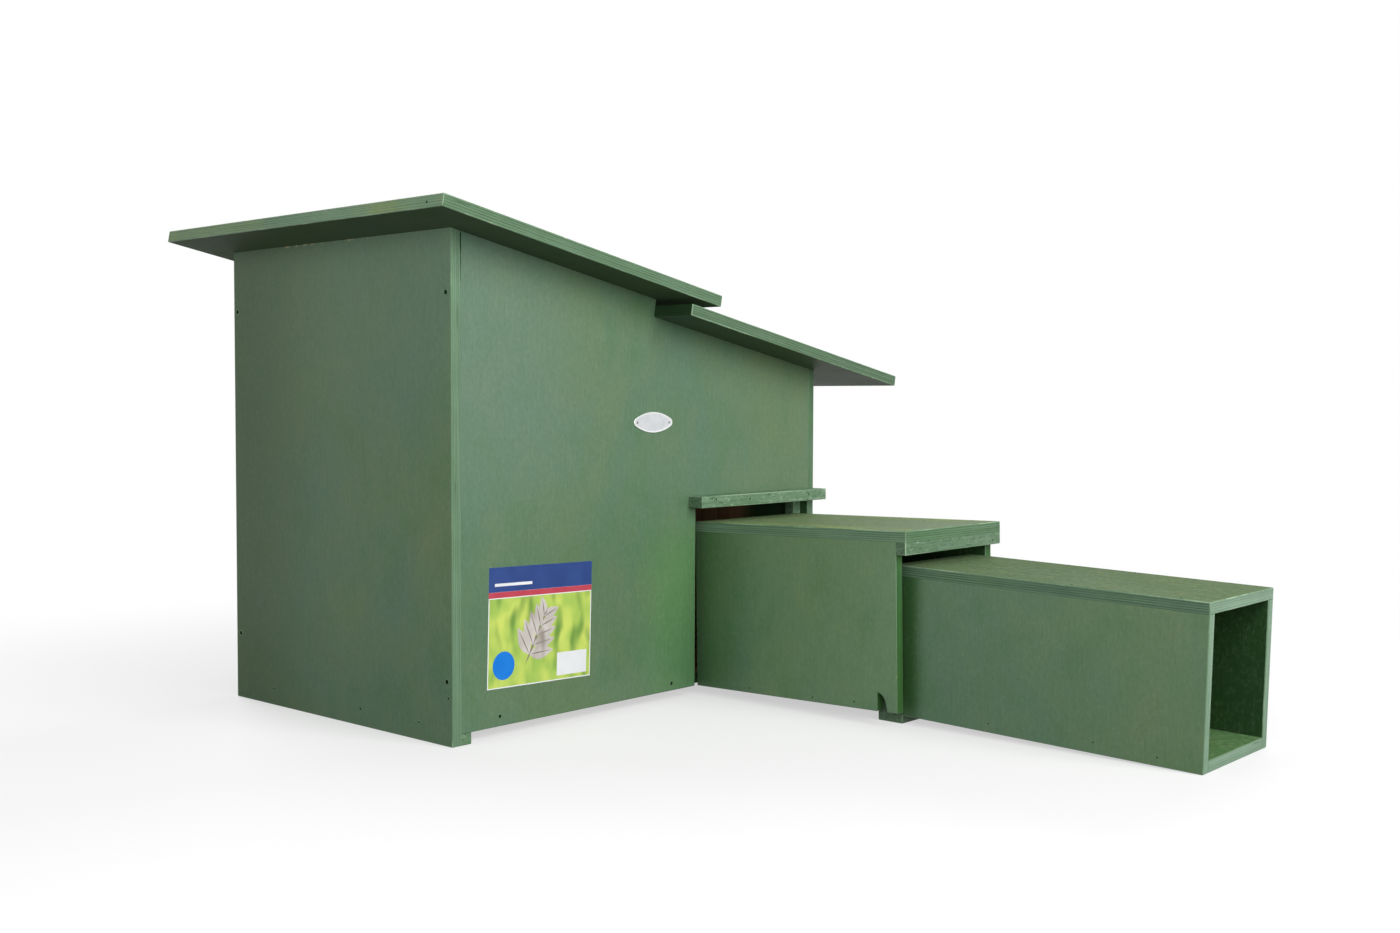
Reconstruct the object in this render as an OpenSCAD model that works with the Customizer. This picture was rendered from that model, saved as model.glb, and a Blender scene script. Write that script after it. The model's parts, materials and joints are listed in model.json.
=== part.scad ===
// Hedgehog house of painted plywood: a stepped shed roof in two lapped boards, an inner partition,
// and an entrance tunnel in two sections that push together in front of the doorway.
// X runs along the front from the tall end to the low end, Y from front to rear, Z up from the ground.
// The origin is at the middle of the footprint, on the ground.

/* [House] */
// Length of the house along its front, over both end panels
house_w = 600; // [480:1:800]
// Depth of the house from front face to rear face
house_d = 400; // [300:1:520]
// Height of the tall end's outer face, from the ground to the roof board
wall_h = 525; // [450:1:640]
// Thickness of the plywood panels
panel_t = 12; // [9:0.5:15]
// Height of the floor runners, which is also the gap under the front panel
runner_h = 12; // [8:0.5:20]
// Width of the floor runners
runner_w = 13; // [8:0.5:30]

/* [Roof] */
// Fall of the roof towards the low end, in degrees
roof_pitch = 10.5; // [6:0.1:16]
// Thickness of the roof boards
roof_t = 13; // [9:0.5:18]
// Drop from the upper roof seat to the lower one, square to the slope
step_drop = 20.5; // [19:0.5:40]
// How far the upper board laps over the lower one, along the slope
roof_lap = 48.5; // [20:0.5:90]
// How far the upper board reaches past the tall end, along the slope
roof_high_overhang = 58; // [20:1:100]
// How far both boards reach past the front face
roof_front_overhang = 57.5; // [20:0.5:100]
// How far both boards reach past the rear face
roof_rear_overhang = 47.5; // [20:0.5:100]
// Width of the rail that joins front and rear panels at the roof step
rail_w = 20; // [12:0.5:30]
// Depth of that rail, square to the slope
rail_h = 48; // [30:1:70]
// Width of the two cleats under the lift-off upper board
cleat_w = 20; // [10:0.5:30]
// Depth of those cleats
cleat_h = 18; // [10:0.5:30]
// Room between the cleats and the walls they sit inside
cleat_play = 3; // [1:0.5:8]
// Room between the lower board's upper end and the step behind it
roof_gap = 0.5; // [0.2:0.1:2]

/* [Entrance] */
// Room between the first tunnel and the front panel's edge of the entrance
entrance_play = 13; // [4:0.5:30]
// Room between the first tunnel and the low end panel
tunnel_1_play = 9; // [4:0.5:13]
// Room over the first tunnel, up to the top of the entrance
entrance_headroom = 20.5; // [12:0.5:40]
// How far the awning reaches past the front panel's edge of the entrance
awning_lap = 11.5; // [4:0.5:40]
// Height of the awning
awning_h = 14; // [8:0.5:30]
// Depth of the awning
awning_d = 21; // [10:0.5:40]
// How far the awning hangs below the top of the entrance
awning_drop = 2; // [0:0.5:5]
// Width of the upright that stiffens the low end panel beside the entrance
jamb_w = 14.5; // [13.5:0.5:30]
// Depth of that upright
jamb_d = 14; // [8:0.5:30]
// Width of the doorway through the inner partition, at the rear
doorway_w = 150; // [110:1:200]
// Height of that doorway over the floor
doorway_h = 150; // [110:1:200]

/* [First tunnel] */
// Width of the first tunnel over its sides
tunnel_1_w = 197; // [170:1:230]
// Height of the first tunnel from underside to top
tunnel_1_h = 198; // [170:1:230]
// Length of the first tunnel's sides
tunnel_1_len = 289; // [220:1:400]
// Height of the drip batten under the front of its top board
drip_h = 14; // [8:0.5:20]
// Depth of the drip batten, which is how far the top board reaches past the sides
drip_d = 12.5; // [8:0.5:25]
// Height of the tunnel's underside over the ground at the house
rear_foot_h = 9.8; // [5:0.1:12]
// Height of the tunnel's underside over the ground at its front foot
front_foot_h = 14.7; // [12.5:0.1:20]
// Depth of both feet along the tunnel
foot_d = 32; // [24:0.5:50]
// Depth of the front foot's raised part, which the second tunnel butts against
foot_stop_d = 14; // [8:0.5:18]
// Height of the front foot's ledge, on which the second tunnel rests
ledge_h = 9.1; // [6:0.1:12]
// Distance from the front foot to the front end of the sides
foot_setback = 9; // [4:0.5:30]
// Distance of the rear foot's ends from the outsides of the tunnel
rear_foot_inset = 45; // [20:1:70]
// Width of the notch in the lower edge of each side
notch_w = 12.5; // [6:0.5:14]
// Height of the notch
notch_h = 20.5; // [10:0.5:30]
// Distance from the notch's upright edge to the front end of the sides
notch_setback = 26; // [18:0.5:40]

/* [Second tunnel] */
// Length of the second tunnel
tunnel_2_len = 357; // [260:1:420]
// Room beside the second tunnel inside the first, on the tall end's side
tunnel_2_play_tall = 11.5; // [2:0.5:14]
// Room beside the second tunnel inside the first, on the low end's side
tunnel_2_play_low = 3.5; // [2:0.5:14]
// Room over the second tunnel, taken from the first tunnel's drip batten
tunnel_2_headroom = 7; // [2:0.5:20]

/* [Plate] */
// Length of the bare oval plate on the front
plate_w = 64; // [40:1:90]
// Height of the plate
plate_h = 24; // [13:1:40]
// Radius of the plate's blunt ends
plate_end_r = 5; // [2:0.5:6]
// Thickness of the plate
plate_t = 1; // [0.5:0.1:2]
// Distance of the plate's middle from the tall end
plate_x = 295; // [100:0.5:330]
// Height of the plate's middle over the ground
plate_z = 328; // [300:1:380]

/* [Hidden] */

// Seat gap between pieces that only push together or lie loose
seat_gap = 0.3;
// Overcut that lets a cut run clear of the face it starts from
over = 1;
// Flats in half of each of the plate's curves
arc_facets = 10;

panel_green = [0.33, 0.43, 0.33];
edge_green = [0.43, 0.55, 0.45];
tunnel_green = [0.35, 0.46, 0.35];
bare_wood = [0.55, 0.42, 0.28];
plate_silver = [0.82, 0.83, 0.84];

// Roof seats: the upper one from the tall end to the step at mid-length, the lower one from there on
step_x = house_w / 2;
step_run = step_x / cos(roof_pitch);
roof_w = roof_front_overhang + house_d + roof_rear_overhang;
roof_len = roof_high_overhang + step_run + roof_lap;
lower_start = step_run + roof_gap;
function upper_seat(x) = wall_h - x * tan(roof_pitch);
function lower_seat(x) = upper_seat(x) - step_drop / cos(roof_pitch);
step_foot_x = step_x - step_drop * sin(roof_pitch);

// Inside of the house
inner_d = house_d - 2 * panel_t;
low_inner_x = house_w - panel_t;
floor_top = runner_h + panel_t;
entrance_w = tunnel_1_w + entrance_play + tunnel_1_play;
entrance_x = low_inner_x - entrance_w;
entrance_top = rear_foot_h + tunnel_1_h + entrance_headroom;
awning_w = entrance_w + awning_lap + panel_t;
partition_x = entrance_x - panel_t;

// First tunnel: it stands on two feet of different height, so it rises towards its mouth
tunnel_1_x = entrance_x + entrance_play;
tunnel_1_inner_w = tunnel_1_w - 2 * panel_t;
tunnel_1_side_h = tunnel_1_h - panel_t;
foot_start = tunnel_1_len - foot_setback - foot_d;
foot_end = foot_start + foot_d;
tunnel_1_rise = asin((front_foot_h - rear_foot_h) / foot_start);
tunnel_1_rear_y = panel_t - seat_gap - tunnel_1_h * sin(tunnel_1_rise);
function ground_under(run) = -(rear_foot_h + run * sin(tunnel_1_rise)) / cos(tunnel_1_rise);

// Second tunnel: its inner end rests on the ledge and its mouth on the ground, so it falls towards its mouth
tunnel_2_x = panel_t + tunnel_2_play_tall;
tunnel_2_w = tunnel_1_inner_w - tunnel_2_play_tall - tunnel_2_play_low;
tunnel_2_h = tunnel_1_h - panel_t - drip_h - tunnel_2_headroom;
tunnel_2_inner_w = tunnel_2_w - 2 * panel_t;
tunnel_2_side_h = tunnel_2_h - panel_t;
tunnel_2_seat = foot_d - foot_stop_d - seat_gap;
tunnel_2_reach = tunnel_2_len - tunnel_2_seat;
tunnel_2_fall = asin(ledge_h / tunnel_2_reach);
ledge_z = ledge_h / cos(tunnel_1_rise) + ground_under(foot_end);
ledge_rear_z = ledge_z + (foot_d - foot_stop_d) * tan(tunnel_1_rise + tunnel_2_fall);
ledge_y = tunnel_1_rear_y - foot_end * cos(tunnel_1_rise) + ledge_z * sin(tunnel_1_rise);

// Footprint, measured from the house's front corner at the tall end
near_x = -roof_high_overhang * cos(roof_pitch);
far_x = (lower_start + roof_len) * cos(roof_pitch) - (step_drop - roof_t) * sin(roof_pitch);
near_y = ledge_y - tunnel_2_reach * cos(tunnel_2_fall) - tunnel_2_h * sin(tunnel_2_fall);
far_y = house_d + roof_rear_overhang;

// Frames of the four things that come apart
module house_frame() {
    translate([-(near_x + far_x) / 2, -(near_y + far_y) / 2, 0])
        children();
}

// Along the upper roof seat from the tall end's outer face, with Z square to the slope
module slope_frame() {
    house_frame()
        translate([0, 0, wall_h])
            rotate([0, roof_pitch, 0])
                children();
}

// At the first tunnel's inner end, with the tunnel running towards -Y
module tunnel_1_frame() {
    house_frame()
        translate([tunnel_1_x, tunnel_1_rear_y, rear_foot_h])
            rotate([-tunnel_1_rise, 0, 0])
                children();
}

// At the front edge of the ledge, with the second tunnel running towards -Y
module tunnel_2_frame() {
    tunnel_1_frame()
        translate([tunnel_2_x, -foot_end, ledge_z])
            rotate([tunnel_1_rise + tunnel_2_fall, 0, 0])
                children();
}

// Upright plate with its outline in X and Z, from y to y + depth
module upright(y, depth) {
    translate([0, y + depth, 0])
        rotate([90, 0, 0])
            linear_extrude(depth)
                children();
}

// Batten across a tunnel with its profile in Y and Z, from x to x + length
module across(x, length) {
    translate([x, 0, 0])
        rotate([90, 0, 90])
            linear_extrude(length)
                children();
}

// Outline of the front and rear panels: two roof seats and the step between them
module stepped_outline() {
    polygon([
        [panel_t, runner_h],
        [low_inner_x, runner_h],
        [low_inner_x, lower_seat(low_inner_x)],
        [step_foot_x, lower_seat(step_foot_x)],
        [step_x, upper_seat(step_x)],
        [panel_t, upper_seat(panel_t)]
    ]);
}

// Outline of an upright strip whose top is bevelled to the lower roof seat
module bevelled_outline(x, width, bottom) {
    polygon([
        [x, bottom],
        [x + width, bottom],
        [x + width, lower_seat(x + width)],
        [x, lower_seat(x)]
    ]);
}

// House
module tall_end_panel() {
    color(panel_green)
        house_frame()
            upright(0, house_d)
                polygon([
                    [0, 0],
                    [panel_t, 0],
                    [panel_t, upper_seat(panel_t)],
                    [0, wall_h]
                ]);
}

module low_end_panel() {
    color(panel_green)
        house_frame()
            upright(0, house_d)
                bevelled_outline(low_inner_x, panel_t, 0);
}

// The entrance is cut from the panel's lower corner, so the low end panel is its far side
module front_panel() {
    color(panel_green)
        house_frame()
            upright(0, panel_t)
                difference() {
                    stepped_outline();
                    translate([entrance_x, runner_h - over])
                        square([entrance_w + over, entrance_top - runner_h + over]);
                }
}

module rear_panel() {
    color(panel_green)
        house_frame()
            upright(house_d - panel_t, panel_t)
                stepped_outline();
}

module floor_panel() {
    color(bare_wood)
        house_frame()
            translate([panel_t, panel_t, runner_h])
                cube([house_w - 2 * panel_t, inner_d, panel_t]);
}

module tall_end_runner() {
    color(panel_green)
        house_frame()
            translate([panel_t, 0, 0])
                cube([runner_w, house_d, runner_h]);
}

// This runner starts behind the entrance, clear of the tunnel
module low_end_runner() {
    color(panel_green)
        house_frame()
            translate([low_inner_x - runner_w, panel_t, 0])
                cube([runner_w, house_d - panel_t, runner_h]);
}

// Baffle between the lobby and the nest, with its doorway at the rear
module partition_panel() {
    color(bare_wood)
        house_frame()
            difference() {
                upright(panel_t, inner_d)
                    bevelled_outline(partition_x, panel_t, floor_top);
                translate([partition_x - over, house_d - panel_t - doorway_w, floor_top - over])
                    cube([panel_t + 2 * over, doorway_w + over, doorway_h + over]);
            }
}

module entrance_jamb() {
    color(panel_green)
        house_frame()
            upright(panel_t, jamb_d)
                bevelled_outline(low_inner_x - jamb_w, jamb_w, floor_top);
}

module awning_batten() {
    color(edge_green)
        house_frame()
            translate([entrance_x - awning_lap, -awning_d, entrance_top - awning_drop])
                cube([awning_w, awning_d, awning_h]);
}

module step_rail() {
    color(bare_wood)
        slope_frame()
            translate([step_run - rail_w, panel_t, -rail_h])
                cube([rail_w, inner_d, rail_h]);
}

// Two flat arcs that run smoothly into a blunt round end on each side
module oval_outline() {
    end_x = plate_w / 2 - plate_end_r;
    arc_r = (pow(end_x, 2) + pow(plate_h / 2, 2) - pow(plate_end_r, 2)) / (plate_h - 2 * plate_end_r);
    arc_z = plate_h / 2 - arc_r;
    meet = atan2(end_x, -arc_z);
    arc_step = meet / arc_facets;
    end_step = (90 - meet) / arc_facets;
    arc = [for (k = [-arc_facets : arc_facets]) [arc_r * sin(k * arc_step), arc_z + arc_r * cos(k * arc_step)]];
    end = [for (k = [1 - arc_facets : arc_facets - 1])
        [end_x + plate_end_r * cos(k * end_step), -plate_end_r * sin(k * end_step)]];
    half = concat(arc, end);
    polygon(concat(half, [for (point = half) -point]));
}

module oval_plate() {
    color(plate_silver)
        house_frame()
            upright(-plate_t, plate_t)
                translate([plate_x, plate_z])
                    oval_outline();
}

// Roof
module lower_roof_board() {
    color(edge_green)
        slope_frame()
            translate([lower_start, -roof_front_overhang, -step_drop])
                cube([roof_len, roof_w, roof_t]);
}

module upper_roof_board() {
    color(edge_green)
        slope_frame()
            translate([-roof_high_overhang, -roof_front_overhang, seat_gap])
                cube([roof_len, roof_w, roof_t]);
}

// Cleat under the upper board, from front wall to rear wall, starting at this distance down the slope
module roof_cleat(start) {
    color(bare_wood)
        slope_frame()
            translate([start, panel_t + cleat_play, seat_gap - cleat_h])
                cube([cleat_w, inner_d - 2 * cleat_play, cleat_h]);
}

module upper_roof_high_cleat() {
    roof_cleat((panel_t + cleat_play + cleat_h * sin(roof_pitch)) / cos(roof_pitch));
}

module upper_roof_low_cleat() {
    roof_cleat(step_run - rail_w - cleat_play - cleat_w);
}

// First tunnel
// A straight edge towards the house and a quarter ellipse towards the mouth
module notch_outline() {
    quarter = [for (angle = [0 : 9 : 90]) [-notch_w * cos(angle), notch_h * sin(angle)]];
    polygon(concat([[0, -over], [-notch_w, -over]], quarter));
}

module tunnel_1_side(x) {
    color(tunnel_green)
        tunnel_1_frame()
            difference() {
                translate([x, -tunnel_1_len, 0])
                    cube([panel_t, tunnel_1_len, tunnel_1_side_h]);
                translate([0, notch_setback - tunnel_1_len, 0])
                    across(x - over, panel_t + 2 * over)
                        notch_outline();
            }
}

module tunnel_1_tall_side() {
    tunnel_1_side(0);
}

module tunnel_1_low_side() {
    tunnel_1_side(tunnel_1_w - panel_t);
}

module tunnel_1_top() {
    color(tunnel_green)
        tunnel_1_frame()
            translate([0, -tunnel_1_len - drip_d, tunnel_1_side_h])
                cube([tunnel_1_w, tunnel_1_len + drip_d, panel_t]);
}

module tunnel_1_floor() {
    color(tunnel_green)
        tunnel_1_frame()
            translate([panel_t, -foot_start, 0])
                cube([tunnel_1_inner_w, foot_start, panel_t]);
}

module tunnel_1_drip_batten() {
    color(edge_green)
        tunnel_1_frame()
            translate([0, -tunnel_1_len - drip_d, tunnel_1_side_h - drip_h])
                cube([tunnel_1_w, drip_d, drip_h]);
}

// Rebated foot: the stop closes the floor's front edge, the ledge carries the second tunnel
module tunnel_1_front_foot() {
    color(tunnel_green)
        tunnel_1_frame()
            across(tunnel_2_x, tunnel_2_w)
                polygon([
                    [-foot_start, ground_under(foot_start)],
                    [-foot_start, panel_t],
                    [-foot_start - foot_stop_d, panel_t],
                    [-foot_start - foot_stop_d, ledge_rear_z],
                    [-foot_end, ledge_z],
                    [-foot_end, ground_under(foot_end)]
                ]);
}

module tunnel_1_rear_foot() {
    color(tunnel_green)
        tunnel_1_frame()
            across(rear_foot_inset, tunnel_1_w - 2 * rear_foot_inset)
                polygon([
                    [0, ground_under(0)],
                    [0, 0],
                    [-foot_d, 0],
                    [-foot_d, ground_under(foot_d)]
                ]);
}

// Second tunnel
// Board of the second tunnel, from its inner end to its mouth
module tunnel_2_board(x, z, width, height) {
    color(tunnel_green)
        tunnel_2_frame()
            translate([x, -tunnel_2_reach, z])
                cube([width, tunnel_2_len, height]);
}

module tunnel_2_tall_side() {
    tunnel_2_board(0, 0, panel_t, tunnel_2_side_h);
}

module tunnel_2_low_side() {
    tunnel_2_board(tunnel_2_w - panel_t, 0, panel_t, tunnel_2_side_h);
}

module tunnel_2_top() {
    tunnel_2_board(0, tunnel_2_side_h, tunnel_2_w, panel_t);
}

module tunnel_2_floor() {
    tunnel_2_board(panel_t, 0, tunnel_2_inner_w, panel_t);
}

tall_end_panel();
low_end_panel();
front_panel();
rear_panel();
floor_panel();
tall_end_runner();
low_end_runner();
partition_panel();
entrance_jamb();
awning_batten();
step_rail();
lower_roof_board();
oval_plate();
upper_roof_board();
upper_roof_high_cleat();
upper_roof_low_cleat();
tunnel_1_tall_side();
tunnel_1_low_side();
tunnel_1_top();
tunnel_1_floor();
tunnel_1_drip_batten();
tunnel_1_front_foot();
tunnel_1_rear_foot();
tunnel_2_tall_side();
tunnel_2_low_side();
tunnel_2_top();
tunnel_2_floor();
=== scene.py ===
"""Looks of the hedgehog house: painted plywood boards, nails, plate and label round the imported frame."""
import itertools
import json
import math

import bmesh
import bpy
from mathutils import Matrix, Vector
from mathutils.bvhtree import BVHTree

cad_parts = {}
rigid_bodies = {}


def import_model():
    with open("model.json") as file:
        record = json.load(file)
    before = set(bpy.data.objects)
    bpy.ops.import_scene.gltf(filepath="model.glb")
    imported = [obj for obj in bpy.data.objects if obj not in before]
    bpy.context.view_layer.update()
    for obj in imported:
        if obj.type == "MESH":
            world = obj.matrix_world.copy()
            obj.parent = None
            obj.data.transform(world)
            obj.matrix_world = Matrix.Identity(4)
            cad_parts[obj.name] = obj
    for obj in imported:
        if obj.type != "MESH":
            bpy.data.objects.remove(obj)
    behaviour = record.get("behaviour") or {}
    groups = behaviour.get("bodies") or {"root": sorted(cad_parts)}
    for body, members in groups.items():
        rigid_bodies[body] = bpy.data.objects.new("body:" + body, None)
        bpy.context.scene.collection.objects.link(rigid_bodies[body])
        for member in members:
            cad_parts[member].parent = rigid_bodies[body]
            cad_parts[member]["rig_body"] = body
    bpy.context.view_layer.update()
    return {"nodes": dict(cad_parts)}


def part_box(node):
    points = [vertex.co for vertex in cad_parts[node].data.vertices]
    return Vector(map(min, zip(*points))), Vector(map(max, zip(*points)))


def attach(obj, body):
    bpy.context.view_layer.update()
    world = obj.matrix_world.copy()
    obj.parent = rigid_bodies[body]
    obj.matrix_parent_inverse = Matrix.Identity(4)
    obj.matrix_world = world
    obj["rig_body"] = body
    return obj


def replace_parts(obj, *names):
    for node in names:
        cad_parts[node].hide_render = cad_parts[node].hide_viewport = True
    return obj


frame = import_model()

# Units, directions and board thicknesses
MM = 0.001
UP, REAR, RIGHT = Vector((0, 0, 1)), Vector((0, 1, 0)), Vector((1, 0, 0))
PANEL_T, ROOF_T = 12 * MM, 13 * MM
PLIES = 5
# The house's front corner at the tall end, on the ground: places on the house are given from here, in mm
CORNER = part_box("tall_end_panel")[0]


def place(x, y, z):
    """The point at these mm from the house's corner: right, to the rear and up."""
    return CORNER + Vector((x, y, z)) * MM


def half_size(node):
    """Half of a node's extent in each direction."""
    low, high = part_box(node)
    return (high - low) / 2


def middle(node):
    """The middle of a node's box."""
    low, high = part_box(node)
    return (low + high) / 2


def shade(colour, share):
    """A colour made darker, or lighter where the share is over 1."""
    return tuple(share * c for c in colour)


# Colours, in linear light
GREEN = (0.085, 0.187, 0.078)
GREEN_COOL = (0.095, 0.178, 0.110)
GREEN_WARM = (0.114, 0.184, 0.092)
GREEN_DEEP = (0.054, 0.145, 0.050)
GREEN_GREY = (0.110, 0.200, 0.108)
GREEN_EDGE = (0.130, 0.226, 0.136)
GREEN_BRIGHT = (0.065, 0.185, 0.040)
GREEN_YELLOW = (0.212, 0.300, 0.114)
GREEN_PALE = (0.220, 0.350, 0.235)
GREEN_WORN = (0.290, 0.410, 0.275)
# Painted light: green light thrown back onto the front by the first tunnel
PAINTED_BOUNCE_GREEN = (0.095, 0.244, 0.084)
# Painted shade on the tunnels' sides, by the house and by the first tunnel's front edge
PAINTED_CORNER_SHADE = (0.030, 0.092, 0.024)
SHADOW_GREEN = (0.016, 0.041, 0.014)
GROOVE_GREEN = shade(SHADOW_GREEN, 1.5)
OLIVE = (0.180, 0.212, 0.088)
# Painted shade for the rear part of the tall end
PAINTED_REAR_SHADE = (0.040, 0.082, 0.027)
MOSS = (0.320, 0.420, 0.110)
# Painted sheen for the front's upper left
PAINTED_SHEEN_GREEN = (0.140, 0.212, 0.165)
# Painted light for the top part of the tall end
PAINTED_TOP_LIGHT = (0.155, 0.238, 0.152)
CHIP = (0.46, 0.42, 0.20)
BARE = (0.50, 0.33, 0.19)
BARE_DARK = (0.33, 0.185, 0.10)
GLUE = (0.085, 0.045, 0.026)
WHITE = (1.0, 1.0, 1.0)

# Node trees. The mix node's colour sockets go by number, because its other kinds use the same names.
MIX_A, MIX_B, MIX_RESULT = 6, 7, 2


class Tree:
    """A short way to add nodes and links to a material or a world."""

    def __init__(self, owner):
        owner.use_nodes = True
        self.owner = owner
        self.nodes = owner.node_tree.nodes
        self.links = owner.node_tree.links

    def set(self, socket, value):
        """Links a socket to another, or sets its value."""
        if isinstance(value, bpy.types.NodeSocket):
            self.links.new(value, socket)
        elif socket.type == "RGBA":
            socket.default_value = (*value, 1.0)
        else:
            socket.default_value = value

    def node(self, kind, inputs=(), **settings):
        """Adds a node, with its settings and the values or links of its inputs."""
        made = self.nodes.new(kind)
        for name, value in settings.items():
            setattr(made, name, value)
        for key, value in dict(inputs).items():
            self.set(made.inputs[key], value)
        return made

    def texture(self, along, across, through=None, detail=4.0, roughness=0.55, distortion=0.0):
        """Noise with so many features per metre along the grain, across it and through the board."""
        scale = (along, across, across if through is None else through)
        wood = self.node("ShaderNodeAttribute", attribute_name="wood").outputs["Vector"]
        scaled = self.node("ShaderNodeVectorMath", {0: wood, 1: scale}, operation="MULTIPLY")
        inputs = {
            "Vector": scaled.outputs[0],
            "Scale": 1.0,
            "Detail": detail,
            "Roughness": roughness,
            "Distortion": distortion,
        }
        return self.node("ShaderNodeTexNoise", inputs).outputs["Fac"]

    def spot(self):
        """The place on the board in metres from its middle: along the grain, across it and through it."""
        source = self.node("ShaderNodeAttribute", attribute_name="spot")
        parts = self.node("ShaderNodeSeparateXYZ", {0: source.outputs["Vector"]}).outputs
        return parts["X"], parts["Y"], parts["Z"]

    def ramp(self, value, low, high, to_low=0.0, to_high=1.0):
        """Maps low to high smoothly onto to_low to to_high."""
        inputs = {"Value": value, "From Min": low, "From Max": high, "To Min": to_low, "To Max": to_high}
        return self.node("ShaderNodeMapRange", inputs, interpolation_type="SMOOTHSTEP").outputs["Result"]

    def math(self, operation, a, b=0.0):
        """The result of a sum, product or the like."""
        return self.node("ShaderNodeMath", {0: a, 1: b}, operation=operation).outputs[0]

    def mix(self, share, a, b):
        """Colour a, with a share of colour b."""
        inputs = {"Factor": share, MIX_A: a, MIX_B: b}
        return self.node("ShaderNodeMix", data_type="RGBA", inputs=inputs).outputs[MIX_RESULT]

    def tint(self, colour, value, levels, shares, other):
        """Mixes another colour in: its share follows a value from one level to another."""
        return self.mix(self.ramp(value, *levels, *shares), colour, other)

    def bump(self, height, strength, distance):
        """Normals of a surface with fine relief."""
        inputs = {"Height": height, "Strength": strength, "Distance": distance}
        return self.node("ShaderNodeBump", inputs).outputs["Normal"]

    def finish(self, colour, roughness, normal=None, metallic=0.0, specular=0.5):
        """Sets the surface of a material, and returns the material."""
        surface = self.nodes["Principled BSDF"].inputs
        self.set(surface["Base Color"], colour)
        self.set(surface["Roughness"], roughness)
        self.set(surface["Metallic"], metallic)
        self.set(surface["Specular IOR Level"], specular)
        if normal is not None:
            self.set(surface["Normal"], normal)
        return self.owner


def material_tree(name):
    """The node tree of a new material."""
    return Tree(bpy.data.materials.new(name))


# Wear and painted light: each function returns one that takes a tree and the colour so far, and gives the new
# colour
CHIPS_FROM, CHIPS_FULL, CHIPS_FADE = 3 * MM, 1 * MM, 20 * MM
MOSS_REACH = 45 * MM
# A range that every place on a board lies past
EVERYWHERE = (-2.0, -1.0)


def light_and_shade_zones(zones, after=None):
    """Painted light and shade on a wall: the stain turns to a tint in zones, and is then worn as after says.

    A zone is a tint, its full share, and the places across and along the board between which it grows.
    """

    def wear_and_light(tree, colour):
        along, across, _ = tree.spot()
        for tint, share, across_range, along_range in zones:
            grown = tree.math("MULTIPLY", tree.ramp(across, *across_range), tree.ramp(along, *along_range))
            colour = tree.mix(tree.math("MULTIPLY", grown, share), colour, tint)
        return after(tree, colour) if after else colour

    return wear_and_light


def chipped_top(half_height, first, last):
    """Wear for a wall: cream chips of bare wood along its top edge, between two places across it."""

    def wear_and_light(tree, colour):
        along, across, _ = tree.spot()
        chips = tree.texture(150, 90, detail=3, roughness=0.7)
        near = tree.ramp(along, half_height - CHIPS_FROM, half_height - CHIPS_FULL)
        start = tree.ramp(across, first, first + CHIPS_FADE)
        end = tree.ramp(across, last - CHIPS_FADE, last, 1.0, 0.0)
        within = tree.math("MULTIPLY", near, tree.math("MULTIPLY", start, end))
        share = tree.math("MULTIPLY", within, tree.ramp(chips, 0.53, 0.62, 0.0, 0.75))
        return tree.mix(share, colour, CHIP)

    return wear_and_light


def streaked(strength, after=None):
    """Wear for a board that lies flat: streaks of yellow-green and deep green, broken by flecks."""

    def wear_and_light(tree, colour):
        streaks = tree.texture(8, 190, detail=5, roughness=0.7)
        flecks = tree.texture(120, 420, detail=3, roughness=0.7)
        broken = tree.ramp(flecks, 0.35, 0.65, 0.35, 1.0)
        colour = tree.tint(colour, streaks, (0.28, 0.50), (0.65 * strength, 0.0), GREEN_DEEP)
        share = tree.math("MULTIPLY", tree.ramp(streaks, 0.50, 0.72, 0.0, 0.9 * strength), broken)
        colour = tree.mix(share, colour, shade(MOSS, 0.72))
        return after(tree, colour) if after else colour

    return wear_and_light


def mossy_sides(half_length, half_width):
    """Wear for a tunnel's top: yellow-green rubbed paint along its long edges, and most near the front."""

    def wear_and_light(tree, colour):
        along, across, _ = tree.spot()
        patches = tree.texture(26, 60, detail=4, roughness=0.65)
        near = tree.ramp(tree.math("ABSOLUTE", across), half_width - MOSS_REACH, half_width)
        front = tree.ramp(along, -half_length, half_length, 1.0, 0.5)
        within = tree.math("MULTIPLY", near, front)
        share = tree.math("MULTIPLY", within, tree.ramp(patches, 0.36, 0.58, 0.0, 0.85))
        return tree.mix(share, colour, MOSS)

    return wear_and_light


# Kinds of material
SATIN, MATT, DULL = 0.33, 0.2, 0.15
PAINT, DEEP_AND_BRIGHT = (GREEN_COOL, GREEN_WARM), (GREEN_DEEP, GREEN_BRIGHT)
GRAIN_DEPTH, GROOVE_DEPTH, TORN_DEPTH = 0.4 * MM, 0.5 * MM, 0.6 * MM
FINE_DEPTH, GRIT_DEPTH = 0.1 * MM, 0.2 * MM
PLY_WOBBLE = 0.4 * MM
FIBRE_GAIN, FIBRE_LIMIT = 1.7, 0.36
SPRAY_FADE, SPRAY_WANDER = 40 * MM, 30 * MM


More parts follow.
